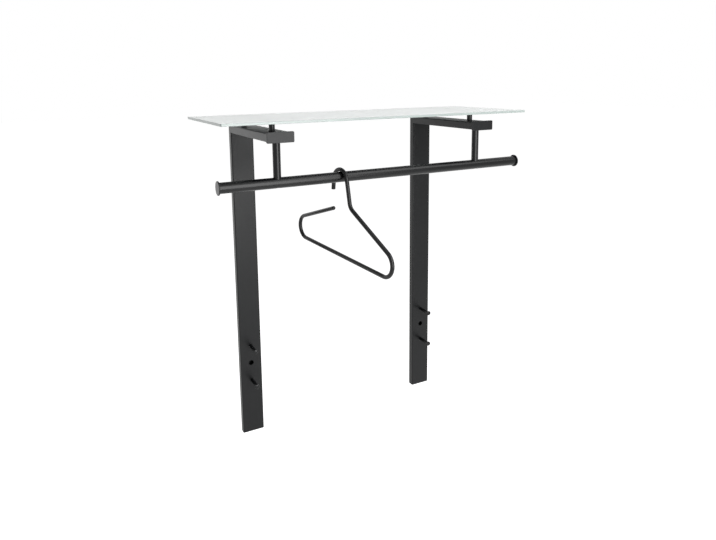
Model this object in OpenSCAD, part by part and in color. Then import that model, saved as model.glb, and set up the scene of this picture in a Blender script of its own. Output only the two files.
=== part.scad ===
// Wall coat rack: two bent brackets of flat tube carry a glass shelf on pins and, on two
// drop posts, a round clothes rail. A bent-tube hanger rides on the rail, and four pegs
// stand out of the brackets near their feet.
// X runs along the wall, -Y out of the wall, Z up. The origin lies on the wall, at the
// middle of the four wall screws.

/* [Brackets] */
// Distance between the centre lines of the two brackets
bracket_spacing = 560; // [440:5:900]
// Height of a bracket, from its foot to the top of its arm
rack_height = 860; // [640:5:1200]
// Reach of the arm's tube from the wall
arm_reach = 295; // [250:1:380]
// Width of the flat tube, seen from the front
tube_width = 60; // [44:1:80]
// Thickness of the flat tube
tube_depth = 20; // [19:0.5:28]
// Wall thickness of the flat tube
tube_wall = 2; // [1.5:0.1:2.5]
// Radius of the flat tube's outer corners
tube_corner = 3; // [2.8:0.1:5]

/* [End caps] */
// Thickness of the plate that closes an arm's front end
arm_cap_plate = 5; // [2:0.5:8]
// How far that plate stands past the tube all round
arm_cap_lip = 2.25; // [0:0.25:4]
// Thickness of the plate that closes a bracket's foot
foot_cap_plate = 2; // [1:0.5:5]
// Depth of both caps' plugs inside the tube
cap_plug = 12; // [6:1:16]
// Gap between a plug and the tube's inside
cap_gap = 0.2; // [0.1:0.05:0.4]

/* [Wall screws] */
// Height of the lower wall screw above the bracket's foot
low_screw_height = 203; // [160:1:300]
// Diameter of the screw holes in the bracket's back
screw_hole_d = 6.5; // [4.5:0.1:8]
// Diameter of the hole in the front through which the lower screw is reached
access_hole_d = 14; // [9:0.5:16]

/* [Coat pegs] */
// Distance of each peg above and below the lower wall screw
peg_offset = 50; // [35:1:80]
// Length of a peg in front of the bracket
peg_length = 48; // [30:1:80]
// Diameter of a peg's shank
peg_d = 9; // [8:0.5:12]
// Diameter of a peg's head
peg_head_d = 13; // [12.5:0.5:20]
// Thickness of a peg's head
peg_head = 5; // [4:0.5:10]

/* [Glass shelf] */
// Width of the glass
shelf_width = 830; // [700:5:1200]
// Depth of the glass, from back to front
shelf_depth = 305; // [270:1:400]
// Thickness of the glass
shelf_thickness = 6; // [5:1:10]
// Gap between the glass and the wall
shelf_wall_gap = 5; // [1:1:20]
// Radius of the glass's corners, seen from above
shelf_corner = 3; // [1:0.5:20]

/* [Shelf pins] */
// Diameter of a shelf pin
pin_d = 14; // [10:0.5:20]
// Height of a shelf pin above the arm, without its pad
pin_height = 19; // [10:1:40]
// Thickness of the soft pad on each pin
pad_thickness = 1; // [0.5:0.5:3]
// How much smaller the pad is than its pin
pad_inset = 1; // [0:0.5:3]
// Distance of the front pins behind the rail's axis
front_pin_set_back = 25; // [14:1:60]
// Distance of the rear pins from the wall
rear_pin_reach = 40; // [32:1:120]

/* [Clothes rail] */
// Outer diameter of the rail
rail_d = 25; // [22:0.5:32]
// Wall thickness of the rail
rail_wall = 2; // [1.5:0.1:2.5]
// Length of the rail's tube
rail_length = 830; // [700:5:1200]
// Distance from the underside of the arms down to the rail's axis
rail_drop = 95; // [85:1:140]
// Distance of the rail's axis behind the front end of the arms' tubes
rail_set_back = 25; // [24:1:60]
// Diameter of the posts that carry the rail
post_d = 18; // [15:0.5:20]
// Diameter of the disc on each end of the rail
rail_cap_d = 32; // [28:0.5:40]
// Thickness of that disc
rail_cap_plate = 3; // [2:0.5:6]

/* [Hanger] */
// Diameter of the hanger's bent tube
hanger_d = 10; // [8:0.5:11]
// Wall thickness of that tube
hanger_wall = 1.5; // [1:0.1:2]
// Reach of the hanger in front of the rail's axis
hanger_front = 209; // [170:1:240]
// Reach of the hanger behind the rail's axis
hanger_back = 192; // [170:1:240]
// Distance from the rail's axis down to the hanger's bar
hanger_drop = 193; // [170:1:260]
// Radius of the hook's bend
hook_r = 27.5; // [24:0.5:32]
// Length of the hook's straight tip
hook_tip = 26; // [20:1:40]
// Angle by which that tip opens away from the rail
hook_flare = 4; // [0:0.5:12]
// Lean of the hanger's neck from upright
neck_lean = 14; // [6:0.5:20]
// Radius of the bend below the neck
neck_r = 24; // [18:1:30]
// Radius of the bends at the ends of the bar
end_r = 30; // [22:1:40]
// Slope of the front shoulder
front_slope = 25.5; // [20:0.5:30]
// Slope of the back shoulder
back_slope = 20.5; // [16:0.5:26]
// Distance from the hook's middle to the open end of the back shoulder
end_gap = 28; // [24:1:60]
// Place of the hook along the rail, from the middle of the rack
hook_place = -121; // [-180:1:180]
// Turn of the hanger about the upright line through its hook
hanger_turn = 7.5; // [-25:0.5:25]
// Angle by which the hanger hangs front end down, as its open end makes it do
hanger_sway = 3; // [0:0.5:6]

/* [Fits] */
// Gap all round a stud in its thread, and a nut in its hole
thread_gap = 0.1; // [0.05:0.05:0.15]
// Gap between the hook and the rail that it hangs on
hook_gap = 0.3; // [0.2:0.05:0.5]
// Diameter of the studs on the pegs, pins and posts, and of the rail screws
stud_d = 6; // [5:0.5:6]
// Length of those studs
stud_length = 10; // [8:0.5:10]

/* [Hidden] */
$fn = 64;

black = "#2b2b2d";
plastic_black = "#1c1c1e";
glass_white = "#dfe8e7";
rubber_grey = "#3a3a3a";
zinc = "#b9bdc0";

left = -1;
right = 1;
sides = [left, right];
bracket_x = bracket_spacing / 2;

// The upper wall screw sits on the arm's centre line, so that it is reached through the arm
arm_axis_drop = tube_depth / 2;
screw_span = rack_height - arm_axis_drop - low_screw_height;
low_screw_z = -screw_span / 2;
high_screw_z = screw_span / 2;
foot_z = low_screw_z - low_screw_height;
arm_top_z = foot_z + rack_height;
arm_under_z = arm_top_z - tube_depth;

// Inside of the flat tube
bore_width = tube_width - 2 * tube_wall;
bore_depth = tube_depth - 2 * tube_wall;
bore_corner = tube_corner - tube_wall;

upper_peg_z = low_screw_z + peg_offset;
lower_peg_z = low_screw_z - peg_offset;
peg_heights = [upper_peg_z, lower_peg_z];

rail_reach = arm_reach - rail_set_back;
front_pin_reach = rail_reach - front_pin_set_back;
pin_reaches = [front_pin_reach, rear_pin_reach];
shelf_under_z = arm_top_z + pin_height + pad_thickness;
rail_z = arm_under_z - rail_drop;
rail_r = rail_d / 2;
rail_bore_r = rail_r - rail_wall;
rail_cap_plug_length = 15;

// Rivet nuts: a sleeve through the wall and a bulge that grips the wall's inside
nut_d = stud_d + 3;
nut_length = stud_length + 1;
nut_bulge_d = nut_d + 2.5;
nut_bulge = 2.5;
nut_hole_d = nut_d + 2 * thread_gap;
thread_d = stud_d + 2 * thread_gap;
edge = 0.8;

// Rail screws: the head is put in through the lower wall and bears on the upper one
rail_screw_head_d = stud_d + 4;
rail_screw_head = 3;
rail_screw_shank = stud_length + rail_wall;
rail_head_seat = sqrt(pow(rail_bore_r, 2) - pow(rail_screw_head_d / 2, 2)) - thread_gap;
rail_head_access_d = rail_screw_head_d + 1;
rail_screw_hole_d = stud_d + 0.5;
socket_d = 4;
socket_depth = 2;

// A rectangle with round corners, centred
module rounded_rectangle(width, depth, corner) {
    square([width - 2 * corner, depth], center = true);
    square([width, depth - 2 * corner], center = true);
    for (x = [-1, 1], y = [-1, 1])
        translate([x * (width / 2 - corner), y * (depth / 2 - corner)])
            circle(r = corner);
}

module tube_section() {
    difference() {
        rounded_rectangle(tube_width, tube_depth, tube_corner);
        rounded_rectangle(bore_width, bore_depth, bore_corner);
    }
}

module plug_section() {
    rounded_rectangle(bore_width - 2 * cap_gap, bore_depth - 2 * cap_gap,
        bore_corner - cap_gap / 2);
}

// The space on one side of the mitre plane, which runs from the bracket's outer corner on
// the wall to its inner corner under the arm: above it lies the arm, below it the upright
module mitre_side(x, above) {
    side = 3 * (tube_width + tube_depth);
    translate([x, 0, arm_top_z])
        rotate([45, 0, 0])
            translate([-side / 2, -side / 2, above ? 0 : -side])
                cube([side, side, side]);
}

// Turns a shape drawn upwards so that it points out of the wall
module pointing_out() {
    rotate([90, 0, 0]) children();
}

module upright(x) {
    color(black) difference() {
        translate([x, -tube_depth / 2, foot_z + foot_cap_plate])
            linear_extrude(rack_height - foot_cap_plate) tube_section();
        mitre_side(x, above = true);
        for (z = [low_screw_z, high_screw_z])
            translate([x, tube_wall / 2, z])
                pointing_out() cylinder(d = screw_hole_d, h = 2 * tube_wall);
        translate([x, -tube_depth + 1.5 * tube_wall, low_screw_z])
            pointing_out() cylinder(d = access_hole_d, h = 2 * tube_wall);
        for (z = peg_heights)
            translate([x, -tube_depth + 1.5 * tube_wall, z])
                pointing_out() cylinder(d = nut_hole_d, h = 2 * tube_wall);
    }
}

module arm(x) {
    color(black) difference() {
        translate([x, 0, arm_top_z - tube_depth / 2])
            pointing_out() linear_extrude(arm_reach) tube_section();
        mitre_side(x, above = false);
        for (reach = pin_reaches)
            translate([x, -reach, arm_top_z - 1.5 * tube_wall])
                cylinder(d = nut_hole_d, h = 2 * tube_wall);
        translate([x, -rail_reach, arm_under_z - tube_wall / 2])
            cylinder(d = nut_hole_d, h = 2 * tube_wall);
    }
}

module arm_cap(x) {
    color(plastic_black) translate([x, -arm_reach, arm_top_z - tube_depth / 2]) {
        pointing_out() linear_extrude(arm_cap_plate)
            rounded_rectangle(tube_width + 2 * arm_cap_lip,
                tube_depth + 2 * arm_cap_lip, tube_corner);
        translate([0, cap_plug, 0])
            pointing_out() linear_extrude(cap_plug) plug_section();
    }
}

module foot_cap(x) {
    color(plastic_black) translate([x, -tube_depth / 2, foot_z]) {
        linear_extrude(foot_cap_plate)
            rounded_rectangle(tube_width, tube_depth, tube_corner);
        translate([0, 0, foot_cap_plate]) linear_extrude(cap_plug) plug_section();
    }
}

module glass_shelf() {
    color(glass_white)
        translate([0, -shelf_wall_gap - shelf_depth / 2, shelf_under_z])
            linear_extrude(shelf_thickness)
                rounded_rectangle(shelf_width, shelf_depth, shelf_corner);
}

// A rivet nut drawn upwards into its tube: z = 0 is flush with the tube's outer face
module rivet_nut() {
    color(zinc) difference() {
        union() {
            cylinder(d = nut_d, h = nut_length);
            translate([0, 0, tube_wall]) cylinder(d = nut_bulge_d, h = nut_bulge);
        }
        translate([0, 0, -1]) cylinder(d = thread_d, h = nut_length + 2);
    }
}

module shelf_pin(x, reach) {
    color(black) translate([x, -reach, arm_top_z]) {
        cylinder(d = pin_d, h = pin_height - edge);
        translate([0, 0, pin_height - edge])
            cylinder(d1 = pin_d, d2 = pin_d - 2 * edge, h = edge);
        translate([0, 0, -stud_length]) cylinder(d = stud_d, h = stud_length);
    }
}

module shelf_pads() {
    color(rubber_grey)
        for (side = sides, reach = pin_reaches)
            translate([side * bracket_x, -reach, arm_top_z + pin_height])
                cylinder(d = pin_d - 2 * pad_inset, h = pad_thickness);
}

module shelf_pin_nuts() {
    for (side = sides, reach = pin_reaches)
        translate([side * bracket_x, -reach, arm_top_z])
            mirror([0, 0, 1]) rivet_nut();
}

// The post's foot is cut to sit on the round rail
module drop_post(x) {
    color(black) translate([x, -rail_reach, 0]) difference() {
        union() {
            translate([0, 0, rail_z]) cylinder(d = post_d, h = rail_drop);
            translate([0, 0, arm_under_z]) cylinder(d = stud_d, h = stud_length);
        }
        translate([0, 0, rail_z])
            rotate([0, 90, 0])
                cylinder(r = rail_r + thread_gap, h = 2 * post_d, center = true);
        translate([0, 0, rail_z])
            cylinder(d = thread_d, h = rail_head_seat + rail_screw_shank + 1);
    }
}

module drop_post_nuts() {
    for (side = sides)
        translate([side * bracket_x, -rail_reach, arm_under_z]) rivet_nut();
}

module rail_tube() {
    color(black) translate([0, -rail_reach, rail_z]) difference() {
        rotate([0, 90, 0]) difference() {
            cylinder(d = rail_d, h = rail_length, center = true);
            cylinder(r = rail_bore_r, h = rail_length + 2, center = true);
        }
        for (side = sides) translate([side * bracket_x, 0, 0]) {
            cylinder(d = rail_screw_hole_d, h = rail_d);
            translate([0, 0, -rail_d]) cylinder(d = rail_head_access_d, h = rail_d);
        }
    }
}

module rail_cap(side) {
    color(plastic_black)
        translate([side * rail_length / 2, -rail_reach, rail_z])
            rotate([0, side * 90, 0]) {
                cylinder(d = rail_cap_d, h = rail_cap_plate - edge);
                translate([0, 0, rail_cap_plate - edge])
                    cylinder(d1 = rail_cap_d, d2 = rail_cap_d - 2 * edge, h = edge);
                translate([0, 0, -rail_cap_plug_length])
                    cylinder(r = rail_bore_r - cap_gap, h = rail_cap_plug_length);
            }
}

module rail_screws() {
    color(zinc)
        for (side = sides)
            translate([side * bracket_x, -rail_reach, rail_z + rail_head_seat])
                difference() {
                    union() {
                        cylinder(d = stud_d, h = rail_screw_shank);
                        translate([0, 0, -rail_screw_head])
                            cylinder(d = rail_screw_head_d, h = rail_screw_head);
                    }
                    translate([0, 0, -rail_screw_head - 1])
                        cylinder(d = socket_d, h = socket_depth + 1);
                }
}

module coat_peg(x, z) {
    color(black) translate([x, -tube_depth, z]) pointing_out() {
        cylinder(d = peg_d, h = peg_length - peg_head);
        translate([0, 0, peg_length - peg_head])
            cylinder(d1 = peg_head_d - 2 * edge, d2 = peg_head_d, h = edge);
        translate([0, 0, peg_length - peg_head + edge])
            cylinder(d = peg_head_d, h = peg_head - 2 * edge);
        translate([0, 0, peg_length - edge])
            cylinder(d1 = peg_head_d, d2 = peg_head_d - 2 * edge, h = edge);
        translate([0, 0, -stud_length]) cylinder(d = stud_d, h = stud_length);
    }
}

module coat_peg_nuts() {
    for (side = sides, z = peg_heights)
        translate([side * bracket_x, -tube_depth, z])
            mirror([0, 1, 0]) pointing_out() rivet_nut();
}

// The hanger's route lies in a plane: first number towards the wall, second upwards,
// both from the rail's axis. It runs from the hook's tip over the rail, down the neck,
// down the front shoulder, back along the bar and up the back shoulder to an open end.
function along(angle) = [cos(angle), sin(angle)];
function cross_2d(a, b) = a[0] * b[1] - a[1] * b[0];
// Where the line from p along u meets the line from q along v
function meet(p, u, q, v) = p + u * cross_2d(q - p, v) / cross_2d(u, v);

hanger_r = hanger_d / 2;
hanger_bore_d = hanger_d - 2 * hanger_wall;
hook_mid = [0, rail_r + hook_gap + hanger_r - hook_r];
hook_start = hook_mid + hook_r * along(hook_flare);
tip_end = hook_start + hook_tip * along(hook_flare - 90);
neck_top = hook_mid + hook_r * along(180 - neck_lean);
neck_way = along(270 - neck_lean);

bar_w = -hanger_drop;
front_mid = [-(hanger_front - hanger_r - end_r), bar_w + end_r];
back_mid = [hanger_back - hanger_r - end_r, bar_w + end_r];
front_way = along(180 + front_slope);
back_way = along(180 - back_slope);
front_shoulder_foot = front_mid + end_r * along(90 + front_slope);
back_shoulder_foot = back_mid + end_r * along(90 - back_slope);

neck_corner = meet(neck_top, neck_way, front_shoulder_foot, front_way);
neck_turn = 90 - neck_lean - front_slope;
neck_set_back = neck_r * tan(neck_turn / 2);
neck_foot = neck_corner - neck_set_back * neck_way;
front_shoulder_top = neck_corner + neck_set_back * front_way;
neck_bend_mid = neck_foot + neck_r * along(180 - neck_lean);
back_end = back_shoulder_foot
    + back_way * (back_shoulder_foot[0] - end_gap) / cos(back_slope);
plug_length = 8;
tip_plate = 1.5;

// A straight run reaches a little into the bends beside it, and a bend is drawn a hair
// thinner, so that each bend ends inside the flat end of a straight run
bend_relief = 0.05;
bend_overlap = 0.3;

module straight(from, to, d, extra_from = bend_overlap, extra_to = bend_overlap) {
    run = to - from;
    translate([from[0], from[1], 0])
        rotate([0, 0, atan2(run[1], run[0])])
            rotate([0, 90, 0])
                translate([0, 0, -extra_from])
                    cylinder(d = d, h = norm(run) + extra_from + extra_to);
}

module bend(mid, r, start, turn, d) {
    translate([mid[0], mid[1], 0])
        rotate([0, 0, start])
            rotate_extrude(angle = turn)
                translate([r, 0]) circle(d = d - 2 * bend_relief);
}

module hanger_route(d, past_ends = 0) {
    straight(tip_end, hook_start, d, extra_from = past_ends);
    bend(hook_mid, hook_r, hook_flare, 180 - neck_lean - hook_flare, d);
    straight(neck_top, neck_foot, d);
    bend(neck_bend_mid, neck_r, -neck_lean - neck_turn, neck_turn, d);
    straight(front_shoulder_top, front_shoulder_foot, d);
    bend(front_mid, end_r, 90 + front_slope, 180 - front_slope, d);
    straight([front_mid[0], bar_w], [back_mid[0], bar_w], d);
    bend(back_mid, end_r, -90, 180 - back_slope, d);
    straight(back_shoulder_foot, back_end, d, extra_to = past_ends);
}

// Stands the hanger's plane up and hangs it on the rail
module on_the_rail() {
    translate([hook_place, -rail_reach, rail_z])
        rotate([0, 0, 90 + hanger_turn])
            rotate([90, 0, 0])
                rotate([0, 0, hanger_sway]) children();
}

module hanger_tube() {
    color(black) on_the_rail() difference() {
        hanger_route(hanger_d);
        hanger_route(hanger_bore_d, past_ends = 1);
    }
}

module hanger_tip_plug() {
    color(plastic_black) on_the_rail()
        translate([tip_end[0], tip_end[1], 0]) rotate([0, 0, hook_flare]) rotate([90, 0, 0]) {
            cylinder(d = hanger_d, h = tip_plate);
            translate([0, 0, -plug_length])
                cylinder(d = hanger_bore_d - 2 * cap_gap, h = plug_length);
        }
}

module hanger_end_plug() {
    color(plastic_black) on_the_rail()
        translate([back_end[0], back_end[1], 0])
            rotate([0, 0, 180 - back_slope]) rotate([0, 90, 0]) {
                rotate_extrude() intersection() {
                    circle(r = hanger_r);
                    square(hanger_r);
                }
                translate([0, 0, -plug_length])
                    cylinder(d = hanger_bore_d - 2 * cap_gap, h = plug_length);
            }
}

upright(left * bracket_x);  // upright_left
upright(right * bracket_x);  // upright_right
arm(left * bracket_x);  // arm_left
arm(right * bracket_x);  // arm_right
arm_cap(left * bracket_x);  // arm_cap_left
arm_cap(right * bracket_x);  // arm_cap_right
foot_cap(left * bracket_x);  // foot_cap_left
foot_cap(right * bracket_x);  // foot_cap_right
glass_shelf();
shelf_pin(left * bracket_x, front_pin_reach);  // shelf_pin_front_left
shelf_pin(right * bracket_x, front_pin_reach);  // shelf_pin_front_right
shelf_pin(left * bracket_x, rear_pin_reach);  // shelf_pin_rear_left
shelf_pin(right * bracket_x, rear_pin_reach);  // shelf_pin_rear_right
shelf_pads();
shelf_pin_nuts();
drop_post(left * bracket_x);  // drop_post_left
drop_post(right * bracket_x);  // drop_post_right
drop_post_nuts();
rail_tube();
rail_cap(left);  // rail_cap_left
rail_cap(right);  // rail_cap_right
rail_screws();
coat_peg(left * bracket_x, upper_peg_z);  // coat_peg_upper_left
coat_peg(right * bracket_x, upper_peg_z);  // coat_peg_upper_right
coat_peg(left * bracket_x, lower_peg_z);  // coat_peg_lower_left
coat_peg(right * bracket_x, lower_peg_z);  // coat_peg_lower_right
coat_peg_nuts();
hanger_tube();
hanger_tip_plug();
hanger_end_plug();
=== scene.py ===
# %% [markdown]
# # A wall coat rack
#
# The object hangs on a wall: two brackets of flat steel tube carry a satin glass shelf on
# pins and, below it, a round clothes rail with a bent-tube hanger. Four pegs stand out of
# the brackets near their feet. Everything but the glass is black.
#
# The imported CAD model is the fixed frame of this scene. It has the right sizes, but its
# round parts are coarse facets and all its edges are knife-sharp. So each part that shows
# is modelled again here, at the sizes that the frame gives, with smooth rounds, softened
# edges and its own finish.

# %% Load the frame
import math

import bmesh
import bpy
from mathutils import Matrix, Vector


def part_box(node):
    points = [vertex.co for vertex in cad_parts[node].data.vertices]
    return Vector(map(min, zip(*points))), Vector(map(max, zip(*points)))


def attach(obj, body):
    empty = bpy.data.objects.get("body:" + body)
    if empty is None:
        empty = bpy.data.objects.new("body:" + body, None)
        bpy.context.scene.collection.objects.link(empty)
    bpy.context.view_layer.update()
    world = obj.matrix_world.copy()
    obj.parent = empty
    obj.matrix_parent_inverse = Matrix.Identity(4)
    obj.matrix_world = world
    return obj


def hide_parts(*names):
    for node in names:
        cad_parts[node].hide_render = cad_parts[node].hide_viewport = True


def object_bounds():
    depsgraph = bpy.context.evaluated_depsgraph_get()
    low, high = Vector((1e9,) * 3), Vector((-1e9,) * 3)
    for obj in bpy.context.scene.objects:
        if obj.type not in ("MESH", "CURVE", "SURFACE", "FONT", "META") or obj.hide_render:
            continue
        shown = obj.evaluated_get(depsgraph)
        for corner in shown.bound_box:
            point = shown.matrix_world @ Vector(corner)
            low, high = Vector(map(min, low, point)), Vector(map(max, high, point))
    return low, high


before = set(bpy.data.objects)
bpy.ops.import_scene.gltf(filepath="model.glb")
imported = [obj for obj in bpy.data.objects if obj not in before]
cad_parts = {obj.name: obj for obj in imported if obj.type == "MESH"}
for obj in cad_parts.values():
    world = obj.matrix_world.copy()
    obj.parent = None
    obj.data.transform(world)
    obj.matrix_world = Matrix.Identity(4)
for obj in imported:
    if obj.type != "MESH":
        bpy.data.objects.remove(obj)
cad_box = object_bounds()
bpy.ops.object.select_all(action="DESELECT")

MM = 0.001
LEFT, RIGHT = -1, 1
SIDES = {"left": LEFT, "right": RIGHT}
print("CAD box in mm", [[round(v / MM, 1) for v in corner] for corner in cad_box])

# %% [markdown]
# ## The camera
#
# A camera matched to a photograph needs its place, its angles, its focal length and the
# point of the picture that it looks straight at. That point isn't in the picture's middle,
# as in a picture cropped from a larger one, and the camera's shift moves it there. The
# shift is smaller than an exact match asks, because it also moves the rack in every other
# view. With the point held there, the rest was solved from edges that show in the
# photograph and from the hanger's outline. The price is that the uprights lean more than
# in the photograph.

# %% Camera
PHOTO_WIDTH, PHOTO_HEIGHT = 716, 540
SENSOR_WIDTH = 36.0
FOCAL_LENGTH_PX = 599.4
LOOKED_AT_PX = (345, 175)
CAMERA_PLACE = Vector((-747.0, -1527.2, 448.2)) * MM
CAMERA_YAW, CAMERA_PITCH, CAMERA_ROLL = (math.radians(a) for a in (26.915, 9.116, -0.753))

bpy.ops.object.camera_add()
camera = bpy.context.object
camera.name = "photo_camera"
camera.data.sensor_width = SENSOR_WIDTH
camera.data.lens = SENSOR_WIDTH * FOCAL_LENGTH_PX / PHOTO_WIDTH
camera.data.shift_x = (PHOTO_WIDTH / 2 - LOOKED_AT_PX[0]) / PHOTO_WIDTH
camera.data.shift_y = (LOOKED_AT_PX[1] - PHOTO_HEIGHT / 2) / PHOTO_WIDTH
camera.matrix_world = (
    Matrix.Translation(CAMERA_PLACE)
    @ Matrix.Rotation(-CAMERA_YAW, 4, "Z")
    @ Matrix.Rotation(math.pi / 2 - CAMERA_PITCH, 4, "X")
    @ Matrix.Rotation(CAMERA_ROLL, 4, "Z")
)
bpy.context.scene.camera = camera
print("lens", round(camera.data.lens, 2), "shift", round(camera.data.shift_x, 3),
      round(camera.data.shift_y, 3))

# %% [markdown]
# ## Colours and nodes
#
# Colours are written as sRGB hex, as a paint chart gives them, and one function turns them
# to the linear values that Blender works with. Another small function adds a node with its
# settings and links, so that each material below reads as a short recipe.

# %% Colour and node helpers
def srgb(code):
    """The linear colour, with alpha, of an sRGB hex code."""
    shares = [int(code[i:i + 2], 16) / 255 for i in (1, 3, 5)]
    return [s / 12.92 if s <= 0.04045 else ((s + 0.055) / 1.055) ** 2.4 for s in shares] + [1]


def add_node(tree, kind, values=None, links=None, **settings):
    """Adds a node, with its settings, its sockets' values and its links."""
    node = tree.nodes.new(kind)
    for name, value in settings.items():
        setattr(node, name, value)
    for socket, value in (values or {}).items():
        node.inputs[socket].default_value = value
    for socket, source in (links or {}).items():
        tree.links.new(source, node.inputs[socket])
    return node


def new_material(name):
    """An empty material with its tree, its surface output and the object's coordinates."""
    material = bpy.data.materials.new(name)
    material.use_nodes = True
    tree = material.node_tree
    tree.nodes.clear()
    output = add_node(tree, "ShaderNodeOutputMaterial")
    place = add_node(tree, "ShaderNodeTexCoord").outputs["Object"]
    return material, tree, output.inputs["Surface"], place


print("black as linear", [round(v, 4) for v in srgb("#1c1d1f")[:3]])

# %% [markdown]
# ## Floor and surroundings
#
# The photograph shows the rack cut out on white. A pale floor well below the rack and a
# white world give that. White is only what the camera, glossy rays and rays through glass
# see. What lights the rack is a softer grey, so that its colours stay about as they are
# written. The floor takes the rack's shadow, but so far below and so bright, it hardly shows.

# %% World
bpy.context.scene.view_settings.view_transform = "Standard"
world = bpy.context.scene.world or bpy.data.worlds.new("studio")
bpy.context.scene.world = world
world.use_nodes = True
sky = world.node_tree
sky.nodes.clear()
SKY_LIGHT = 0.35
SKY_WHITE = 1.0


def seen_directly(tree):
    """1 for camera, glossy and transmission rays, and 0 for light that scatters."""
    path = add_node(tree, "ShaderNodeLightPath").outputs
    either = add_node(tree, "ShaderNodeMath", operation="MAXIMUM",
                      links={0: path["Is Camera Ray"], 1: path["Is Glossy Ray"]})
    return add_node(tree, "ShaderNodeMath", operation="MAXIMUM",
                    links={0: either.outputs[0], 1: path["Is Transmission Ray"]}).outputs[0]


white_share = seen_directly(sky)
strength = add_node(sky, "ShaderNodeMapRange", links={"Value": white_share},
                    values={"To Min": SKY_LIGHT, "To Max": SKY_WHITE})
background = add_node(sky, "ShaderNodeBackground", values={"Color": srgb("#ffffff")},
                      links={"Strength": strength.outputs["Result"]})
add_node(sky, "ShaderNodeOutputWorld", links={"Surface": background.outputs[0]})
print("world light", SKY_LIGHT, "and seen as", SKY_WHITE)

# %% Floor
FLOOR_DROP = 250 * MM
FLOOR_SIZE = 40.0
FLOOR_GLOW = 0.70
# Matt emulsion paint, rolled on: no gloss at all, so the floor shows no mirror image.
floor_material, tree, surface, place = new_material("matt_painted_floor")
paint = add_node(tree, "ShaderNodeBsdfDiffuse", values={"Color": srgb("#f2f2f2")})
glow = add_node(tree, "ShaderNodeEmission", values={"Color": srgb("#ffffff")})
glow_strength = add_node(tree, "ShaderNodeMath", operation="MULTIPLY", values={1: FLOOR_GLOW},
                         links={0: seen_directly(tree)})
tree.links.new(glow_strength.outputs[0], glow.inputs["Strength"])
both = add_node(tree, "ShaderNodeAddShader", links={0: paint.outputs[0], 1: glow.outputs[0]})
tree.links.new(both.outputs[0], surface)

bpy.ops.mesh.primitive_plane_add(size=FLOOR_SIZE,
                                 location=(0, 0, cad_box[0].z - FLOOR_DROP))
floor = bpy.context.object
floor.name = "floor"
floor.data.materials.append(floor_material)
print("floor at", round(floor.location.z, 3))

# %% [markdown]
# ## Lamps
#
# Black satin paint shows its lamps more than its colour, so each lamp is placed for the
# reflection that it draws. The tall one in front lifts the flat faces and puts the soft
# upright line on the posts. The high one at the right carries the long line on the rail
# on to its far end. The one above lights the glass, and a weak one behind the left side
# grazes the sides of the tubes. All are large, so that their edges blur and the shadows
# stay soft. The tall one has a fault: from straight behind, it shows as white in the black
# faces that run along the line of sight, and the hanger's bar is lost against the white.

# %% Softboxes
def softbox(name, place, target, width, height, watts):
    """A lamp that faces its target."""
    bpy.ops.object.light_add(type="AREA", location=place)
    lamp = bpy.context.object
    lamp.name = name
    lamp.rotation_euler = (Vector(target) - Vector(place)).to_track_quat("-Z", "Y").to_euler()
    lamp.data.shape = "RECTANGLE"
    lamp.data.size, lamp.data.size_y = width, height
    lamp.data.energy = watts
    lamp.visible_camera = False
    print(name, watts, "W")
    return lamp


RACK_MIDDLE = (cad_box[0] + cad_box[1]) / 2
softbox("lamp_front", (0.13, -2.0, 0.55), (0, 0, 0.55), width=1.1, height=2.0, watts=48)
softbox("lamp_high", (1.1, -1.5, 1.7), RACK_MIDDLE, width=1.1, height=1.4, watts=18)
softbox("lamp_above", (-0.2, 0.5, 2.4), RACK_MIDDLE, width=2.0, height=2.0, watts=12)
softbox("lamp_side", (-1.3, 2.2, 0.2), RACK_MIDDLE, width=2.2, height=2.2, watts=8)

# %% [markdown]
# ## Black finishes
#
# The tube of the brackets is powder coated: a dry powder is baked to a satin skin with a
# fine, even texture and a slight unevenness like orange peel. One flat black would do from
# afar, but it would look like cut paper. So one recipe layers a cloudy tone, a broad peel
# and a fine grain, and each finish sets its own gloss and depth.
#
# The rail, the posts, the pins, the pegs and the hanger have the same paint in a smoother
# grade, the blackest of all. The caps and discs are moulded plastic, with a gloss between
# the two paints. Real grains are 0.1 to 0.3 mm and would not show, so they are drawn at
# 0.7 to 1 mm.

# %% Coat recipe
CLOUD_MM = 45
PEEL_MM = 6
GLOSS_SPREAD = 0.04


def grain_scale(size_mm):
    """The Noise scale whose grains are about this size."""
    return 1 / (size_mm * MM)


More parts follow.
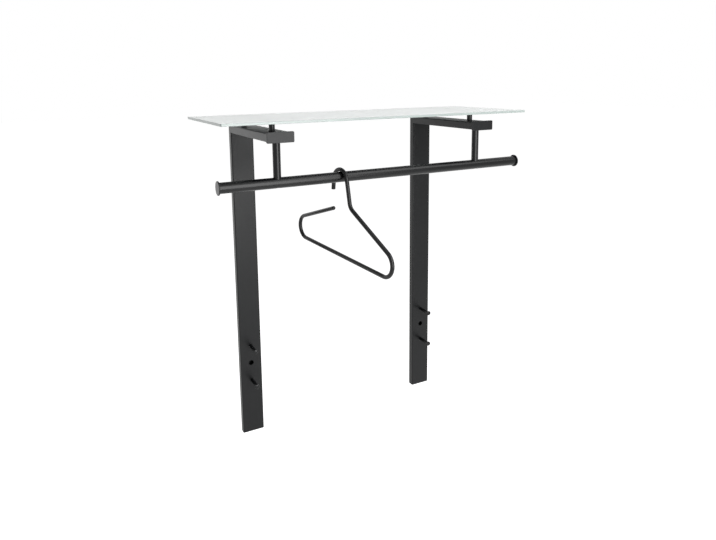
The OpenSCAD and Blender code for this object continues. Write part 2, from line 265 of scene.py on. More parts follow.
def black_coat(name, dark, light, roughness, grain_mm, grain_height, peel_height, shine):
    """Black paint or plastic with a cloudy tone, a fine grain and a broad unevenness."""
    material, tree, surface, place = new_material(name)
    cloud = add_node(tree, "ShaderNodeTexNoise", links={"Vector": place},
                     values={"Scale": grain_scale(CLOUD_MM), "Detail": 3})
    tone = add_node(tree, "ShaderNodeMix", data_type="RGBA", links={"Factor": cloud.outputs[0]},
                    values={"A": srgb(dark), "B": srgb(light)})
    polish = add_node(tree, "ShaderNodeMapRange", links={"Value": cloud.outputs[0]},
                      values={"To Min": roughness - GLOSS_SPREAD,
                              "To Max": roughness + GLOSS_SPREAD})
    grain = add_node(tree, "ShaderNodeTexNoise", links={"Vector": place},
                     values={"Scale": grain_scale(grain_mm), "Detail": 2})
    peel = add_node(tree, "ShaderNodeTexNoise", links={"Vector": place},
                    values={"Scale": grain_scale(PEEL_MM), "Detail": 1})
    wavy = add_node(tree, "ShaderNodeBump", links={"Height": peel.outputs[0]},
                    values={"Strength": 1, "Distance": peel_height * MM})
    rough = add_node(tree, "ShaderNodeBump",
                     links={"Height": grain.outputs[0], "Normal": wavy.outputs[0]},
                     values={"Strength": 1, "Distance": grain_height * MM})
    skin = add_node(tree, "ShaderNodeBsdfPrincipled",
                    values={"IOR": 1.5, "Metallic": 0, "Specular IOR Level": shine},
                    links={"Base Color": tone.outputs[2], "Roughness": polish.outputs[0],
                           "Normal": rough.outputs[0]})
    tree.links.new(skin.outputs[0], surface)
    return material


# %% Black materials
# Coarse powder, baked on steel: it spreads each lamp into a wide, dull sheen, so the flat
# faces look dark grey and never show a lamp's edge.
textured_coat = black_coat("powder_coat_fine_texture", "#0a0b0c", "#0f1011",
                           roughness=0.38, grain_mm=1.0, grain_height=0.03, peel_height=0.02,
                           shine=0.21)
# Fine powder, baked on steel: a deeper black, with a narrow bright line along each round.
smooth_coat = black_coat("powder_coat_smooth", "#050607", "#08090a",
                         roughness=0.27, grain_mm=0.8, grain_height=0.005, peel_height=0.01,
                         shine=0.25)
# Polypropylene from a finely grained mould: an even, slightly greyer black, which sets the
# caps off from the tube.
moulded_plastic = black_coat("moulded_polypropylene", "#0c0d0e", "#121314",
                             roughness=0.35, grain_mm=0.7, grain_height=0.03,
                             peel_height=0.005, shine=0.22)
print("black materials:", textured_coat.name, smooth_coat.name, moulded_plastic.name)

# %% [markdown]
# ## Satin glass
#
# The shelf is toughened float glass with acid-etched faces. The simple recipe is clear
# glass with a rough skin, which blurs what lies behind. The real plate hides nearly all of
# it, so here most of the light scatters inside, and the plate looks like pale, cool paper,
# from below too. Its edge is ground and polished, and there the glass's own green shows,
# because one looks into the plate's whole width. So the plate gets two materials.
# The real etch is finer than 0.1 mm and would not show, so it is drawn at 0.8 mm.

# %% Glass materials
GLASS_CLOUD_MM = 120
SCATTER_DEPTH = 10 * MM


def glass(name, colour, roughness, transmission, scatter, etch_mm, etch_height):
    """Glass whose surface was etched or ground with a grit of the given size."""
    material, tree, surface, place = new_material(name)
    etch = add_node(tree, "ShaderNodeTexNoise", links={"Vector": place},
                    values={"Scale": grain_scale(etch_mm), "Detail": 2})
    bump = add_node(tree, "ShaderNodeBump", links={"Height": etch.outputs[0]},
                    values={"Strength": 1, "Distance": etch_height * MM})
    cloud = add_node(tree, "ShaderNodeTexNoise", links={"Vector": place},
                     values={"Scale": grain_scale(GLASS_CLOUD_MM), "Detail": 2})
    tone = add_node(tree, "ShaderNodeMix", data_type="RGBA", links={"Factor": cloud.outputs[0]},
                    values={"A": srgb(colour[0]), "B": srgb(colour[1])})
    body = add_node(tree, "ShaderNodeBsdfPrincipled",
                    values={"IOR": 1.52, "Roughness": roughness,
                            "Transmission Weight": transmission,
                            "Subsurface Weight": scatter, "Subsurface Scale": SCATTER_DEPTH,
                            "Subsurface Radius": (1, 1, 1)},
                    links={"Base Color": tone.outputs[2], "Normal": bump.outputs[0]})
    tree.links.new(body.outputs[0], surface)
    return material


# Etched by acid: no mirror image and no clear view through, only an even, pale glow.
etched_face = glass("etched_glass_face", ("#e1e4e3", "#e5e8e7"), roughness=0.55,
                    transmission=0.1, scatter=0.8, etch_mm=0.8, etch_height=0.01)
# Ground and polished: a darker, greener line that draws the plate's outline.
polished_edge = glass("polished_glass_edge", ("#949d9a", "#9da6a3"), roughness=0.30,
                      transmission=0.1, scatter=0, etch_mm=1.5, etch_height=0.004)
print("glass materials:", etched_face.name, polished_edge.name)

# %% [markdown]
# ## Small hidden finishes
#
# The pads under the glass are black rubber, dull and slightly dusty. The screws and the
# rivet nuts are bright zinc plate on steel: a metal, with the faint crystal cloudiness
# that electroplating leaves.

# %% Rubber and zinc
# Nitrile rubber, cut from sheet: dull all over, with no bright line at its rim.
pad_rubber = black_coat("nitrile_rubber", "#242424", "#2c2c2c", roughness=0.7,
                        grain_mm=0.8, grain_height=0.02, peel_height=0.01, shine=0.3)


def zinc_plate():
    """Bright metal with a cloudy tone and gloss."""
    material, tree, surface, place = new_material("bright_zinc_plate")
    cloud = add_node(tree, "ShaderNodeTexNoise", links={"Vector": place},
                     values={"Scale": grain_scale(2), "Detail": 4})
    tone = add_node(tree, "ShaderNodeMix", data_type="RGBA", links={"Factor": cloud.outputs[0]},
                    values={"A": srgb("#a9adb0"), "B": srgb("#c6cacd")})
    polish = add_node(tree, "ShaderNodeMapRange", links={"Value": cloud.outputs[0]},
                      values={"To Min": 0.22, "To Max": 0.38})
    plate = add_node(tree, "ShaderNodeBsdfPrincipled", values={"Metallic": 1},
                     links={"Base Color": tone.outputs[2], "Roughness": polish.outputs[0]})
    tree.links.new(plate.outputs[0], surface)
    return material


# Zinc, electroplated on steel: the one bright metal here, cool and a little cloudy.
zinc = zinc_plate()
print("hidden materials:", pad_rubber.name, zinc.name)

# %% [markdown]
# ## Working by hand, in code
#
# A modeller adds a primitive, opens it in edit mode, picks faces or edges by eye and runs
# an operator on them. In code, the eye is a test on each face's or edge's place. The
# helpers below start a block, pick in edit mode, apply a modifier, and finish a piece:
# smooth it, give it its material, tie it to its body and hide the CAD nodes that it stands for.

# %% Helpers: start and pick
PARALLEL = 0.99


def only(piece):
    """Selects this piece alone and makes it the active one."""
    bpy.ops.object.select_all(action="DESELECT")
    piece.select_set(True)
    bpy.context.view_layer.objects.active = piece


def open_up(piece, name):
    """Names a new primitive, puts its place into its mesh and opens it in edit mode."""
    piece.name = piece.data.name = name
    only(piece)
    bpy.ops.object.transform_apply(location=True, rotation=True, scale=True)
    bpy.ops.object.mode_set(mode="EDIT")
    bpy.ops.mesh.select_mode(type="VERT")
    return piece


def block(name, low, high):
    """A block between two corners, open in edit mode."""
    low, high = Vector(low), Vector(high)
    bpy.ops.mesh.primitive_cube_add(size=1, location=(low + high) / 2, scale=high - low)
    return open_up(bpy.context.object, name)


def pick(part, test):
    """Selects the faces, edges or verts that pass the test, and only them."""
    bpy.ops.mesh.select_mode(type=part[:-1].upper())
    bpy.ops.mesh.select_all(action="DESELECT")
    mesh = bmesh.from_edit_mesh(bpy.context.edit_object.data)
    found = [item for item in getattr(mesh, part) if test(item)]
    for item in found:
        item.select_set(True)
    bmesh.update_edit_mesh(bpy.context.edit_object.data)
    return len(found)


def runs_along(axis):
    """A test for edges that run along an axis: 0 is X, 1 is Y and 2 is Z."""
    def test(edge):
        way = edge.verts[1].co - edge.verts[0].co
        return abs(way[axis]) > PARALLEL * way.length
    return test


def faces_towards(way):
    """A test for faces that look a given way."""
    return lambda face: face.normal.dot(Vector(way)) > PARALLEL


# %% Helpers: modify and finish
BODY = "rack"
SMOOTH_UP_TO = math.radians(35)
SHARP_FROM = math.radians(40)
DRILL_SIDES = 48


def apply_modifier(piece, kind, **settings):
    """Adds a modifier with its settings and applies it."""
    only(piece)
    modifier = piece.modifiers.new(kind.lower(), kind)
    for name, value in settings.items():
        setattr(modifier, name, value)
    bpy.ops.object.modifier_apply(modifier=modifier.name)


def soften(piece, width_mm, segments=2):
    """Rounds every sharp edge a little, as paint and tumbling do."""
    apply_modifier(piece, "BEVEL", width=width_mm * MM, segments=segments,
                   limit_method="ANGLE", angle_limit=SHARP_FROM)


def close_up(piece):
    """Leaves edit mode with all faces pointing outwards."""
    bpy.ops.mesh.select_all(action="SELECT")
    bpy.ops.mesh.normals_make_consistent(inside=False)
    bpy.ops.object.mode_set(mode="OBJECT")


def dress(piece, slot, nodes, *materials, body=BODY):
    """Smooths a finished piece, gives it its materials, ties it to its body and hides its CAD
    nodes.
    """
    only(piece)
    bpy.ops.object.shade_smooth_by_angle(angle=SMOOTH_UP_TO)
    apply_modifier(piece, "WEIGHTED_NORMAL", keep_sharp=True)
    for material in materials:
        if material.name not in piece.data.materials:
            piece.data.materials.append(material)
    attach(piece, body)
    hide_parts(*nodes)
    mesh = bmesh.new()
    mesh.from_mesh(piece.data)
    ragged = sum(len(edge.link_faces) != 2 for edge in mesh.edges)
    print(f"{piece.name}: {len(mesh.faces)} faces, {ragged} ragged edges,"
          f" {mesh.calc_volume() / MM ** 3:.0f} mm3")
    mesh.free()
    return piece


def copy_of(piece, name, shift):
    """A copy with its own mesh, moved by shift inside that mesh."""
    twin = piece.copy()
    twin.data = piece.data.copy()
    twin.name = twin.data.name = name
    bpy.context.scene.collection.objects.link(twin)
    twin.data.transform(Matrix.Translation(shift))
    return twin


def drill(piece, place, way, diameter, depth):
    """Cuts a round hole through the wall whose middle is at place."""
    turn = Vector(way).to_track_quat("Z", "Y").to_euler()
    bpy.ops.mesh.primitive_cylinder_add(vertices=DRILL_SIDES, radius=diameter / 2, depth=depth,
                                        location=place, rotation=turn)
    cutter = bpy.context.object
    apply_modifier(piece, "BOOLEAN", object=cutter, operation="DIFFERENCE", solver="EXACT")
    bpy.data.objects.remove(cutter)


# %% [markdown]
# ## The brackets
#
# Each bracket is two lengths of 60 x 20 mm tube with rounded corners, mitred at 45 degrees
# and welded. A block is the quickest start: its four long edges are bevelled to the
# tube's corner radius, its ends are deleted, and Solidify gives the wall. Only then is the
# mitre cut, so that the cut goes through the wall as a saw goes, and the two loops that it
# leaves are bridged. The holes come last, and a fine bevel takes the edge off them.

# %% Bracket sizes
upright_low, upright_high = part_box("upright_left")
arm_low, arm_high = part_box("arm_left")
BRACKET_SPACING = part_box("upright_right")[0].x - upright_low.x
BRACKET_X = BRACKET_SPACING / 2
TUBE_WALL = 2 * MM
TUBE_CORNER = 3 * MM
CORNER_STEPS = 6
ARM_TOP = upright_high.z
ARM_UNDER = arm_low.z
TUBE_DEPTH = ARM_TOP - ARM_UNDER
MITRE_PLACE = Vector((0, 0, ARM_TOP))
MITRE_WAY = Vector((0, -1, 1)).normalized()
PAINT_EDGE = 0.3
print("tube", round((upright_high.x - upright_low.x) / MM), "x", round(TUBE_DEPTH / MM), "mm,"
      " brackets", round(BRACKET_SPACING / MM), "mm apart")


# %% Tube with a mitred end
def flat_tube(name, low, high, along, keep_above):
    """A flat tube along an axis, mitred, with the side of the mitre that it keeps."""
    piece = block(name, low, high)
    pick("edges", runs_along(along))
    bpy.ops.mesh.bevel(offset=TUBE_CORNER, segments=CORNER_STEPS, affect="EDGES")
    pick("faces", lambda face: abs(face.normal[along]) > PARALLEL)
    bpy.ops.mesh.delete(type="FACE")
    close_up(piece)
    apply_modifier(piece, "SOLIDIFY", thickness=TUBE_WALL, offset=-1, use_even_offset=True)
    bpy.ops.object.mode_set(mode="EDIT")
    bpy.ops.mesh.select_all(action="SELECT")
    bpy.ops.mesh.bisect(plane_co=MITRE_PLACE, plane_no=MITRE_WAY,
                        clear_inner=keep_above, clear_outer=not keep_above)
    pick("edges", lambda edge: edge.is_boundary)
    bpy.ops.mesh.bridge_edge_loops()
    close_up(piece)
    return piece


upright = flat_tube("upright_tube_left", upright_low, upright_high, along=2, keep_above=False)
arm = flat_tube("arm_tube_left", arm_low, arm_high, along=1, keep_above=True)
print(upright.name, len(upright.data.polygons), arm.name, len(arm.data.polygons))

# %% [markdown]
# The lower wall screw sits halfway between the two pegs. Its head is reached through a
# wider hole in the front of the tube, which shows as the dark spot between the pegs. The
# other holes take rivet nuts, and the pegs, pins and posts hide them.

# %% Drill the tubes
LOW_SCREW_Z = -323.5 * MM
SCREW_HOLE = 6.5 * MM
ACCESS_HOLE = 14 * MM
NUT_HOLE = 9.2 * MM
PEG_OFFSET = 50 * MM
PEG_HEIGHTS = {"upper": LOW_SCREW_Z + PEG_OFFSET, "lower": LOW_SCREW_Z - PEG_OFFSET}
BACK_WALL_Y = -TUBE_WALL / 2
FRONT_WALL_Y = -TUBE_DEPTH + TUBE_WALL / 2
PIN_BOXES = {end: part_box(f"shelf_pin_{end}_left") for end in ("front", "rear")}
PIN_Y = {end: (low.y + high.y) / 2 for end, (low, high) in PIN_BOXES.items()}
rail_low, rail_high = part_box("rail_tube")
RAIL_Y = (rail_low.y + rail_high.y) / 2
RAIL_Z = (rail_low.z + rail_high.z) / 2

for z in (LOW_SCREW_Z, -LOW_SCREW_Z):
    drill(upright, (-BRACKET_X, BACK_WALL_Y, z), (0, 1, 0), SCREW_HOLE, 2 * TUBE_WALL)
drill(upright, (-BRACKET_X, FRONT_WALL_Y, LOW_SCREW_Z), (0, 1, 0), ACCESS_HOLE, 2 * TUBE_WALL)
for z in PEG_HEIGHTS.values():
    drill(upright, (-BRACKET_X, FRONT_WALL_Y, z), (0, 1, 0), NUT_HOLE, 2 * TUBE_WALL)
for y in PIN_Y.values():
    drill(arm, (-BRACKET_X, y, ARM_TOP - TUBE_WALL / 2), (0, 0, 1), NUT_HOLE, 2 * TUBE_WALL)
drill(arm, (-BRACKET_X, RAIL_Y, ARM_UNDER + TUBE_WALL / 2), (0, 0, 1), NUT_HOLE, 2 * TUBE_WALL)

TO_THE_RIGHT = Vector((BRACKET_SPACING, 0, 0))
for piece, node in ((upright, "upright"), (arm, "arm")):
    soften(piece, PAINT_EDGE)
    twin = copy_of(piece, f"{node}_tube_right", TO_THE_RIGHT)
    dress(piece, "powder_coat", [f"{node}_left"], textured_coat)
    dress(twin, "powder_coat", [f"{node}_right"], textured_coat)

# %% [markdown]
# ## The caps in the tube's ends
#
# A moulded cap closes each tube: a plate outside and a plug that grips inside. The cap at
# the arm's front stands 2.25 mm past the tube all round and is the first thing seen from
# the front. The back of a block is inset and extruded to make the plug, then the
# plate's corners and its outer rim are rounded.

# %% Plug caps
CAP_GAP = 0.2 * MM
CAP_PLUG_LENGTH = 12 * MM
ARM_CAP_LIP = 2.25 * MM
SAME_PLACE = 1e-6


def plug_cap(name, low, high, axis, inwards, lip, plug_length, rim):
    """A plate with a plug on the side that faces inwards along an axis."""
    way = Vector((0, 0, 0))
    way[axis] = inwards
    piece = block(name, low, high)
    pick("faces", faces_towards(way))
    bpy.ops.mesh.inset(thickness=lip + TUBE_WALL + CAP_GAP)
    bpy.ops.mesh.extrude_region_move(TRANSFORM_OT_translate={"value": way * plug_length})
    inner_face = low[axis] if inwards < 0 else high[axis]
    on_plate = lambda vert: (inner_face - vert.co[axis]) * inwards > -SAME_PLACE
    straight = runs_along(axis)
    pick("edges", lambda edge: straight(edge) and all(on_plate(v) for v in edge.verts))
    bpy.ops.mesh.bevel(offset=TUBE_CORNER, segments=CORNER_STEPS, affect="EDGES")
    outer_face = high[axis] if inwards < 0 else low[axis]
    pick("edges", lambda edge: all(abs(v.co[axis] - outer_face) < SAME_PLACE
                                   for v in edge.verts))
    bpy.ops.mesh.bevel(offset=rim, segments=3, affect="EDGES")
    close_up(piece)
    return piece


cap_low, cap_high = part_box("arm_cap_left")
arm_cap = plug_cap("arm_cap_piece_left", cap_low, Vector((cap_high.x, arm_low.y, cap_high.z)),
                   axis=1, inwards=1, lip=ARM_CAP_LIP, plug_length=CAP_PLUG_LENGTH, rim=0.8 * MM)
foot_low, foot_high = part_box("foot_cap_left")
foot_cap = plug_cap("foot_cap_piece_left", foot_low, Vector((*foot_high.xy, upright_low.z)),
                    axis=2, inwards=1, lip=0, plug_length=CAP_PLUG_LENGTH, rim=0.4 * MM)
for piece, node in ((arm_cap, "arm_cap"), (foot_cap, "foot_cap")):
    twin = copy_of(piece, f"{node}_piece_right", TO_THE_RIGHT)
    dress(piece, "cap_plastic", [f"{node}_left"], moulded_plastic)
    dress(twin, "cap_plastic", [f"{node}_right"], moulded_plastic)

# %% [markdown]
# ## The glass shelf
#
# A plate of 6 mm glass starts as a block. Its four upright corners are rounded, then both
# rims get the small flat bevel, called an arris, that a glazier grinds so that the edge
# doesn't cut. The two large faces keep the etched finish, and all the rest is polished.

# %% Glass plate
GLASS_CORNER = 3 * MM
ARRIS = 0.7 * MM
glass_low, glass_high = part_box("glass_shelf")
shelf = block("glass_plate", glass_low, glass_high)
pick("edges", runs_along(2))
bpy.ops.mesh.bevel(offset=GLASS_CORNER, segments=8, affect="EDGES")
flat_face = lambda face: abs(face.normal.z) > PARALLEL
pick("edges", lambda edge: sum(flat_face(face) for face in edge.link_faces) == 1)
bpy.ops.mesh.bevel(offset=ARRIS, segments=1, affect="EDGES")
shelf.data.materials.append(polished_edge)
shelf.data.materials.append(etched_face)
pick("faces", flat_face)
shelf.active_material_index = 1
bpy.ops.object.material_slot_assign()
close_up(shelf)
dress(shelf, "satin_glass", ["glass_shelf"], polished_edge, etched_face)

# %% [markdown]
# ## Turned parts
#
# The pins, pegs, posts and discs are all round about an axis, as if made on a lathe. By
# hand, such a part is a filled circle that is extruded along its axis and scaled, ring
# after ring. The function does the same from a list of rings, each with its distance
# along the axis and its radius, and a second one gives the rings of a rounded rim.

# %% Helpers: turned parts
TURNED_SIDES = 64
SMALL_SIDES = 48


def rounded_rim(end, radius, rounding, steps=4, starts=False):
    """Rings of a rounded edge, where a turned part ends, or where it starts."""
    angles = [math.pi / 2 * step / steps for step in range(steps + 1)]
    sign = -1 if starts else 1
    rings = [(end - sign * rounding * (1 - math.sin(a)), radius - rounding * (1 - math.cos(a)))
             for a in angles]
    return rings[::-1] if starts else rings


def turned(name, place, way, rings, sides=TURNED_SIDES):
    """A turned part: rings are pairs of distance from place along way, and radius."""
    place, way = Vector(place), Vector(way)
    (at, radius), *others = rings
    bpy.ops.mesh.primitive_circle_add(vertices=sides, radius=radius, fill_type="NGON",
                                      location=place + way * at,
                                      rotation=way.to_track_quat("Z", "Y").to_euler())
    piece = open_up(bpy.context.object, name)
    bpy.ops.mesh.select_all(action="SELECT")
    for distance, new_radius in others:
        bpy.ops.mesh.extrude_region_move(
            TRANSFORM_OT_translate={"value": way * (distance - at)})
        bpy.ops.transform.resize(value=[new_radius / radius] * 3,
                                 center_override=place + way * distance)
        at, radius = distance, new_radius
    close_up(piece)
    return piece


# %% [markdown]
# The glass rests on four pins, 14 mm thick, screwed into the arms. Each has a thin rubber
# pad on top, a little smaller than the pin, so only a dark line shows under the glass.

# %% Shelf pins and pads
STUD = 3 * MM
STUD_LENGTH = 10 * MM
PIN_RADIUS = 7 * MM
PAD_RADIUS = 6 * MM
PIN_HEIGHT = PIN_BOXES["front"][1].z - ARM_TOP
PAD_HEIGHT = glass_low.z - ARM_TOP - PIN_HEIGHT

pin = turned("pin", (-BRACKET_X, PIN_Y["front"], ARM_TOP), (0, 0, 1),
             [(-STUD_LENGTH, STUD), (0, STUD),
              *rounded_rim(0, PIN_RADIUS, 0.4 * MM, starts=True),
              *rounded_rim(PIN_HEIGHT, PIN_RADIUS, 0.8 * MM)])
pad = turned("pad", (-BRACKET_X, PIN_Y["front"], ARM_TOP + PIN_HEIGHT), (0, 0, 1),
             [(0, PAD_RADIUS), *rounded_rim(PAD_HEIGHT, PAD_RADIUS, 0.3 * MM)])
pads = []
for end, y in PIN_Y.items():
    for name, side in SIDES.items():
        shift = Vector(((side + 1) * BRACKET_X, y - PIN_Y["front"], 0))
        dress(copy_of(pin, f"pin_{end}_{name}", shift), "pin_steel",
              [f"shelf_pin_{end}_{name}"], smooth_coat)
        pads.append(copy_of(pad, f"pad_{end}_{name}", shift))
bpy.data.objects.remove(pin)
bpy.data.objects.remove(pad)
bpy.ops.object.select_all(action="DESELECT")
for pad in pads:
    pad.select_set(True)
bpy.context.view_layer.objects.active = pads[0]
bpy.ops.object.join()
pads[0].name = "four_pads"
dress(pads[0], "pad_rubber", ["shelf_pads"], pad_rubber)

# %% [markdown]
# ## Pegs
#
# A peg is a 9 mm shank with a 13 mm head, so that a coat's loop can't slip off. The head
# is cut square behind, where it holds the loop. In front its rim is rounded and its face is
# a shallow dome, which can catch a small light from many sides.

# %% Coat pegs
DOME = 1.2 * MM


def domed(end, radius, height, steps=4):
    """Rings of a shallow dome from this radius to nearly a point."""
    ball = (radius ** 2 + height ** 2) / (2 * height)
    edge = math.asin(radius / ball)
    angles = [edge * (1 - step / (steps + 1)) for step in range(steps + 1)]
    return [(end - ball * (1 - math.cos(a)), ball * math.sin(a)) for a in angles]


PEG_SHANK = 4.5 * MM
PEG_HEAD = 6.5 * MM
PEG_LENGTH = -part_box("coat_peg_upper_left")[0].y - TUBE_DEPTH
HEAD_LENGTH = 5 * MM
HEAD_START = PEG_LENGTH - HEAD_LENGTH

peg = turned("peg", (-BRACKET_X, -TUBE_DEPTH, PEG_HEIGHTS["upper"]), (0, -1, 0),
             [(-STUD_LENGTH, STUD), (0, STUD), (0, PEG_SHANK), (HEAD_START, PEG_SHANK),
              *rounded_rim(HEAD_START, PEG_HEAD, 0.6 * MM, starts=True),
              *rounded_rim(PEG_LENGTH - DOME, PEG_HEAD, 1.0 * MM)[:-1],
              *domed(PEG_LENGTH, PEG_HEAD - 1.0 * MM, DOME)], sides=SMALL_SIDES)
for height, z in PEG_HEIGHTS.items():
    for name, side in SIDES.items():
        shift = Vector(((side + 1) * BRACKET_X, 0, z - PEG_HEIGHTS["upper"]))
        dress(copy_of(peg, f"peg_{height}_{name}", shift), "pin_steel",
              [f"coat_peg_{height}_{name}"], smooth_coat)
bpy.data.objects.remove(peg)

# %% [markdown]
# ## The clothes rail
#
# The rail is a 25 mm tube. An open circle is extruded over its length and Solidify gives
# the wall. Over each post's place it has a small hole at the top for the screw and a wider
# one below that lets the screw's head in. A disc with a plug closes each end.

# %% Rail tube
RAIL_RADIUS = (rail_high.z - rail_low.z) / 2
RAIL_WALL = 2 * MM
RAIL_LENGTH = rail_high.x - rail_low.x
SCREW_WAY = 6.5 * MM
HEAD_WAY = 11 * MM
RAIL_SIDES = 96

bpy.ops.mesh.primitive_circle_add(vertices=RAIL_SIDES, radius=RAIL_RADIUS, fill_type="NOTHING",
                                  location=(rail_low.x, RAIL_Y, RAIL_Z),
                                  rotation=(0, math.pi / 2, 0))
rail = open_up(bpy.context.object, "rail")
bpy.ops.mesh.select_all(action="SELECT")
bpy.ops.mesh.extrude_region_move(TRANSFORM_OT_translate={"value": (RAIL_LENGTH, 0, 0)})
close_up(rail)
apply_modifier(rail, "SOLIDIFY", thickness=RAIL_WALL, offset=-1, use_even_offset=True)
for side in SIDES.values():
    for wall, width in ((1, SCREW_WAY), (-1, HEAD_WAY)):
        z = RAIL_Z + wall * (RAIL_RADIUS - RAIL_WALL / 2)
        drill(rail, (side * BRACKET_X, RAIL_Y, z), (0, 0, 1), width, 3 * RAIL_WALL)
dress(rail, "rail_coat", ["rail_tube"], smooth_coat)

# %% Rail end discs
disc_low, disc_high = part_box("rail_cap_left")
DISC_RADIUS = (disc_high.z - disc_low.z) / 2
DISC_THICKNESS = rail_low.x - disc_low.x
PLUG_RADIUS = RAIL_RADIUS - RAIL_WALL - CAP_GAP
PLUG_LENGTH = 15 * MM
for name, side in SIDES.items():
    disc = turned(f"rail_disc_{name}", (side * RAIL_LENGTH / 2, RAIL_Y, RAIL_Z), (side, 0, 0),
                  [(-PLUG_LENGTH, PLUG_RADIUS - 0.5 * MM), (-PLUG_LENGTH + 0.5 * MM, PLUG_RADIUS),
                   (0, PLUG_RADIUS), *rounded_rim(0, DISC_RADIUS, 0.4 * MM, starts=True),
                   *rounded_rim(DISC_THICKNESS, DISC_RADIUS, 0.9 * MM)])
    dress(disc, "cap_plastic", [f"rail_cap_{name}"], moulded_plastic)

# %% [markdown]
# ## The posts
#
# Each post hangs from its arm by a stud. Its foot is cut to the round of the rail, as a
# hole saw cuts it, and the screw from inside the rail pulls it tight. So the post is
# turned with its stud, and then the rail's round and the screw's bore are cut out of it.

# %% Drop posts
POST_RADIUS = 9 * MM
POST_FIT = 0.1 * MM
SCREW_BORE = 6.2 * MM
SCREW_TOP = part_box("rail_screws")[1].z
POST_LENGTH = ARM_UNDER - RAIL_Z

post = turned("post_left", (-BRACKET_X, RAIL_Y, ARM_UNDER), (0, 0, -1),
              [(-STUD_LENGTH, STUD), (0, STUD),
               *rounded_rim(0, POST_RADIUS, 0.4 * MM, starts=True), (POST_LENGTH, POST_RADIUS)])
drill(post, (-BRACKET_X, RAIL_Y, RAIL_Z), (1, 0, 0), 2 * (RAIL_RADIUS + POST_FIT),
      4 * POST_RADIUS)
drill(post, (-BRACKET_X, RAIL_Y, (RAIL_Z + SCREW_TOP) / 2), (0, 0, 1), SCREW_BORE,
      SCREW_TOP - RAIL_Z + 2 * MM)
twin = copy_of(post, "post_right", TO_THE_RIGHT)
dress(post, "pin_steel", ["drop_post_left"], smooth_coat)
dress(twin, "pin_steel", ["drop_post_right"], smooth_coat)

# %% [markdown]
# The screw inside the rail is a socket screw, and from below, its head shows through the
# wide hole. The socket could be inset into the head, but the head has many more sides than
# six, so a six-sided prism is cut out of it.

# %% Rail screws
SCREW_HEAD_RADIUS = 5 * MM
SCREW_HEAD = 3 * MM
SOCKET_RADIUS = 4 / math.sqrt(3) * MM  # to the corners of a hexagon 4 mm across its flats
SOCKET_DEPTH = 2 * MM
screw_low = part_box("rail_screws")[0]
screw = turned("rail_screw", (-BRACKET_X, RAIL_Y, screw_low.z), (0, 0, 1),
               [*rounded_rim(0, SCREW_HEAD_RADIUS, 0.5 * MM, starts=True),
                (SCREW_HEAD, SCREW_HEAD_RADIUS), (SCREW_HEAD, STUD),
                (SCREW_TOP - screw_low.z - 0.5 * MM, STUD),
                (SCREW_TOP - screw_low.z, STUD - 0.5 * MM)], sides=SMALL_SIDES)
bpy.ops.mesh.primitive_cylinder_add(vertices=6, radius=SOCKET_RADIUS, depth=2 * SOCKET_DEPTH,
                                    location=(-BRACKET_X, RAIL_Y, screw_low.z))
prism = bpy.context.object
apply_modifier(screw, "BOOLEAN", object=prism, operation="DIFFERENCE", solver="EXACT")
bpy.data.objects.remove(prism)
twin = copy_of(screw, "rail_screw_right", TO_THE_RIGHT)
only(screw)
twin.select_set(True)
bpy.ops.object.join()
screw.name = "two_rail_screws"
dress(screw, "zinc_steel", ["rail_screws"], zinc)

# %% [markdown]
# ## The hanger
#
# The hanger is one 10 mm tube, bent four times in a flat plane: at the hook, below the neck
# and at both ends of the bar, and it stops at an open end. Its longer front half makes it
# hang with the front end a little low, and it is turned a little from square to the wall.
# Its halves and its slope were matched through the camera above, whose point was moved.
# Through a camera with the exact point, they come out nearly even and nearly level, so the
# real ones probably are.
#
# Bending is what Spin does: the open ring at the end of the tube turns about the bend's
# middle and leaves a wall behind it. So the tube is one circle that is extruded along the
# straight runs and spun around the bends.
#
# The plane's coordinates are the distance towards the wall and the height, both from the
# rail's axis, before the hanger sways.

# %% Hanger route
HANGER_RADIUS = 5 * MM
HANGER_WALL = 1.5 * MM
HOOK_PLACE = -121 * MM
HANGER_TURN, HANGER_SWAY = math.radians(7.5), math.radians(3)
HOOK_RADIUS, HOOK_TIP, HOOK_FLARE, HOOK_GAP = 27.5 * MM, 26 * MM, 4, 0.3 * MM
NECK_LEAN, NECK_RADIUS = 14, 24 * MM
FRONT_REACH, BACK_REACH, BAR_DROP, END_RADIUS = 209 * MM, 192 * MM, 193 * MM, 30 * MM
FRONT_SLOPE, BACK_SLOPE, END_GAP = 25.5, 20.5, 28 * MM


def towards(angle):
    """The direction at an angle in the hanger's plane, in degrees."""
    return Vector((math.cos(math.radians(angle)), math.sin(math.radians(angle))))


def meeting(p, u, q, v):
    """Where the line from p along u meets the line from q along v."""
    return p + u * ((q - p).cross(v) / u.cross(v))


hook_mid = Vector((0, RAIL_RADIUS + HOOK_GAP + HANGER_RADIUS - HOOK_RADIUS))
hook_start = hook_mid + HOOK_RADIUS * towards(HOOK_FLARE)
tip_way = towards(HOOK_FLARE - 90)
tip = hook_start + HOOK_TIP * tip_way
neck_top = hook_mid + HOOK_RADIUS * towards(180 - NECK_LEAN)
front_mid = Vector((-(FRONT_REACH - HANGER_RADIUS - END_RADIUS), -BAR_DROP + END_RADIUS))
back_mid = Vector((BACK_REACH - HANGER_RADIUS - END_RADIUS, -BAR_DROP + END_RADIUS))
front_foot = front_mid + END_RADIUS * towards(90 + FRONT_SLOPE)
back_foot = back_mid + END_RADIUS * towards(90 - BACK_SLOPE)
neck_way, front_way = towards(270 - NECK_LEAN), towards(180 + FRONT_SLOPE)
back_way = towards(180 - BACK_SLOPE)
NECK_TURN = 90 - NECK_LEAN - FRONT_SLOPE
neck_corner = meeting(neck_top, neck_way, front_foot, front_way)
set_back = NECK_RADIUS * math.tan(math.radians(NECK_TURN / 2))
neck_foot = neck_corner - set_back * neck_way
neck_mid = neck_foot + NECK_RADIUS * towards(180 - NECK_LEAN)
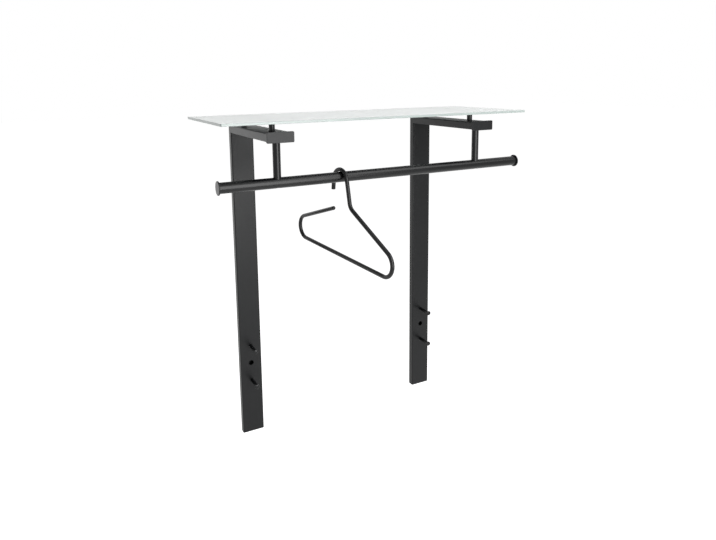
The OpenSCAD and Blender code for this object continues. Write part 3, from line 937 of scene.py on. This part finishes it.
open_end = back_foot + back_way * ((back_foot.x - END_GAP) / math.cos(math.radians(BACK_SLOPE)))
print("neck", round((neck_foot - neck_top).length / MM, 1), "mm, front shoulder",
      round((front_foot - neck_corner).length / MM - set_back / MM, 1), "mm")

# %% Bend the tube
LEVEL = Vector((-math.sin(HANGER_TURN), math.cos(HANGER_TURN), 0))
PLUMB = Vector((0, 0, 1))
ALONG = math.cos(HANGER_SWAY) * LEVEL + math.sin(HANGER_SWAY) * PLUMB
ABOVE = math.cos(HANGER_SWAY) * PLUMB - math.sin(HANGER_SWAY) * LEVEL
PLANE_WAY = ALONG.cross(ABOVE)
BEND_STEP = 5
HANGER_SIDES = 32


def turned_way(way):
    """A direction of the hanger's plane, in the rack's frame."""
    return way.x * ALONG + way.y * ABOVE


def spot(point):
    """A point of the hanger's plane, in the rack's frame."""
    return Vector((HOOK_PLACE, RAIL_Y, RAIL_Z)) + turned_way(point)


def run_to(end):
    """Extrudes the tube's open ring to the end of a straight run."""
    mesh = bmesh.from_edit_mesh(bpy.context.edit_object.data)
    ring = [vert.co for vert in mesh.verts if vert.select]
    middle = sum(ring, Vector()) / len(ring)
    bpy.ops.mesh.extrude_region_move(TRANSFORM_OT_translate={"value": spot(end) - middle})


def bend(middle, angle):
    """Spins the open ring about a bend's middle; Spin itself counts angles clockwise."""
    bpy.ops.mesh.spin(steps=math.ceil(abs(angle) / BEND_STEP), angle=-math.radians(angle),
                      center=spot(middle), axis=PLANE_WAY)


bpy.ops.mesh.primitive_circle_add(vertices=HANGER_SIDES, radius=HANGER_RADIUS,
                                  fill_type="NOTHING", location=spot(tip),
                                  rotation=turned_way(tip_way).to_track_quat("Z", "Y").to_euler())
hanger = open_up(bpy.context.object, "hanger_bent_tube")
bpy.ops.mesh.select_all(action="SELECT")
run_to(hook_start)
bend(hook_mid, 180 - NECK_LEAN - HOOK_FLARE)
run_to(neck_foot)
bend(neck_mid, -NECK_TURN)
run_to(front_foot)
bend(front_mid, 180 - FRONT_SLOPE)
run_to(Vector((back_mid.x, -BAR_DROP)))
bend(back_mid, 180 - BACK_SLOPE)
run_to(open_end)
bpy.ops.mesh.select_all(action="SELECT")
bpy.ops.mesh.remove_doubles(threshold=0.001 * MM)
close_up(hanger)
apply_modifier(hanger, "SOLIDIFY", thickness=HANGER_WALL, offset=-1, use_even_offset=True)
dress(hanger, "hanger_coat", ["hanger_tube"], smooth_coat, body="hanger")
low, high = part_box("hanger_tube")
made = [Vector(map(side, *[vert.co for vert in hanger.data.vertices])) for side in (min, max)]
print("off the CAD box by", [round((a - b).length / MM, 2) for a, b in zip(made, (low, high))])

# %% Hanger ends
TIP_PLATE = 1.5 * MM
HANGER_PLUG = HANGER_RADIUS - HANGER_WALL - CAP_GAP
HANGER_PLUG_LENGTH = 8 * MM
tip_plug = turned("hanger_tip_piece", spot(tip), turned_way(tip_way),
                  [(-HANGER_PLUG_LENGTH, HANGER_PLUG), (0, HANGER_PLUG), (0, HANGER_RADIUS),
                   *rounded_rim(TIP_PLATE, HANGER_RADIUS, 0.5 * MM)], sides=HANGER_SIDES)
end_plug = turned("hanger_end_piece", spot(open_end), turned_way(back_way),
                  [(-HANGER_PLUG_LENGTH, HANGER_PLUG), (0, HANGER_PLUG), (0, HANGER_RADIUS),
                   *rounded_rim(HANGER_RADIUS, HANGER_RADIUS, 0.98 * HANGER_RADIUS, steps=8)],
                  sides=HANGER_SIDES)
dress(tip_plug, "cap_plastic", ["hanger_tip_plug"], moulded_plastic, body="hanger")
dress(end_plug, "cap_plastic", ["hanger_end_plug"], moulded_plastic, body="hanger")

# %% [markdown]
# ## What stays as CAD
#
# The rivet nuts sit inside the tubes, where nobody sees more than a rim of them. Their CAD
# shape is right, so they stay and only take the zinc finish.

# %% Nuts
for node in ("shelf_pin_nuts", "drop_post_nuts", "coat_peg_nuts"):
    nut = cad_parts[node]
    nut.data.materials.clear()
    nut.data.materials.append(zinc)
    print(node, "takes", zinc.name)
